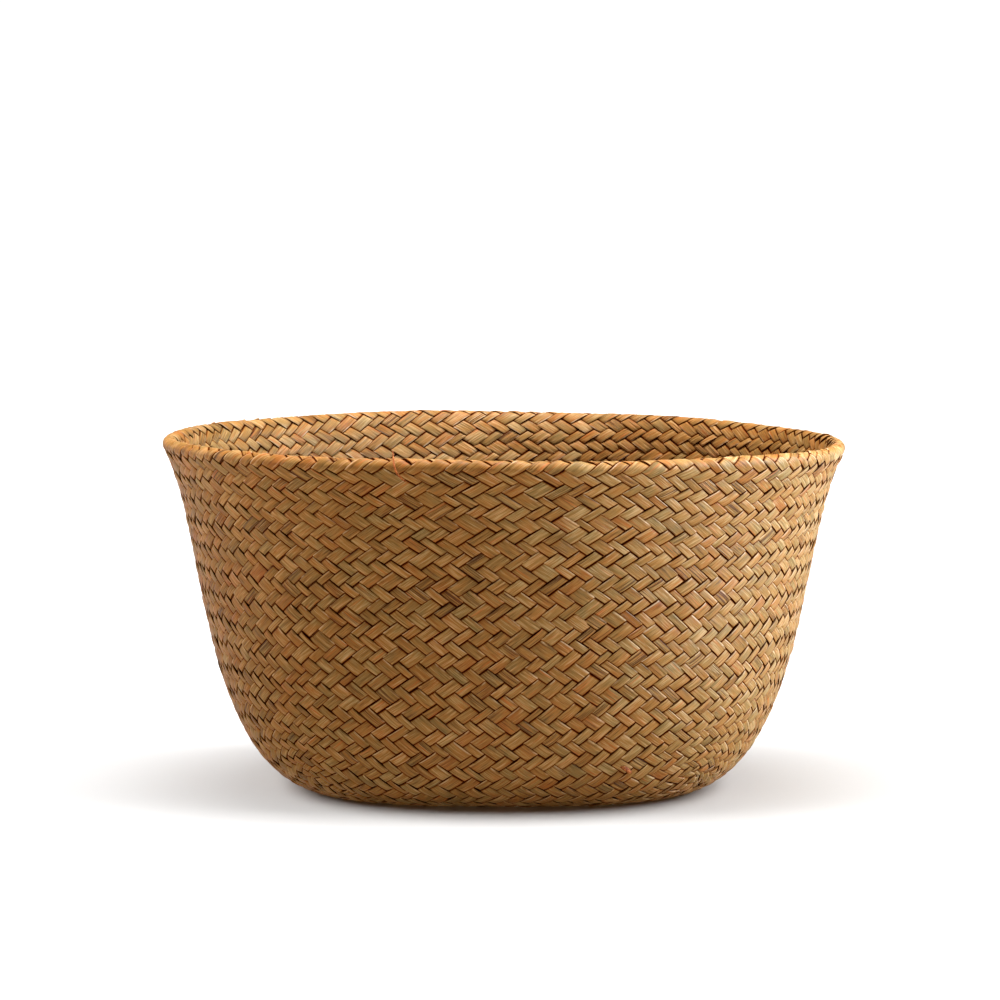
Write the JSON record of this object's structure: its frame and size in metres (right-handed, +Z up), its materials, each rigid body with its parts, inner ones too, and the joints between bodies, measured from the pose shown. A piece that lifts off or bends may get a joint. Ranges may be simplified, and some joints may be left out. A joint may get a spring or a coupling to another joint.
{
  "type": "storage basket",
  "caption": "Open round storage basket plaited from flat seagrass strands, with a flat base, a flaring wall and a folded, rounded rim.",
  "frame": {"origin": "centre of the flat base, on the surface that the basket stands on", "axes": "+Z up out of the mouth, -Y towards the side shown from the front, +X to the right of that view"},
  "size_m": [0.32, 0.32, 0.1675],
  "materials": {
    "seagrass": "satin",
    "rust_fibre": "matte"
  },
  "bodies": {
    "root": {"right_strands_01": "seagrass", "right_strands_02": "seagrass", "right_strands_03": "seagrass", "right_strands_04": "seagrass", "right_strands_05": "seagrass", "right_strands_06": "seagrass", "right_strands_07": "seagrass", "right_strands_08": "seagrass", "right_strands_09": "seagrass", "right_strands_10": "seagrass", "right_strands_11": "seagrass", "right_strands_12": "seagrass", "right_strands_13": "seagrass", "right_strands_14": "seagrass", "right_strands_15": "seagrass", "right_strands_16": "seagrass", "right_strands_17": "seagrass", "right_strands_18": "seagrass", "right_strands_19": "seagrass", "right_strands_20": "seagrass", "right_strands_21": "seagrass", "right_strands_22": "seagrass", "right_strands_23": "seagrass", "right_strands_24": "seagrass", "right_strands_25": "seagrass", "right_strands_26": "seagrass", "right_strands_27": "seagrass", "right_strands_28": "seagrass", "left_strands_01": "seagrass", "left_strands_02": "seagrass", "left_strands_03": "seagrass", "left_strands_04": "seagrass", "left_strands_05": "seagrass", "left_strands_06": "seagrass", "left_strands_07": "seagrass", "left_strands_08": "seagrass", "left_strands_09": "seagrass", "left_strands_10": "seagrass", "left_strands_11": "seagrass", "left_strands_12": "seagrass", "left_strands_13": "seagrass", "left_strands_14": "seagrass", "left_strands_15": "seagrass", "left_strands_16": "seagrass", "left_strands_17": "seagrass", "left_strands_18": "seagrass", "left_strands_19": "seagrass", "left_strands_20": "seagrass", "left_strands_21": "seagrass", "left_strands_22": "seagrass", "left_strands_23": "seagrass", "left_strands_24": "seagrass", "left_strands_25": "seagrass", "left_strands_26": "seagrass", "left_strands_27": "seagrass", "left_strands_28": "seagrass", "base_strands_lower": "seagrass", "base_strands_upper": "seagrass", "rim_fold": "seagrass", "loose_fibre": "rust_fibre"}
  },
  "joints": []
}
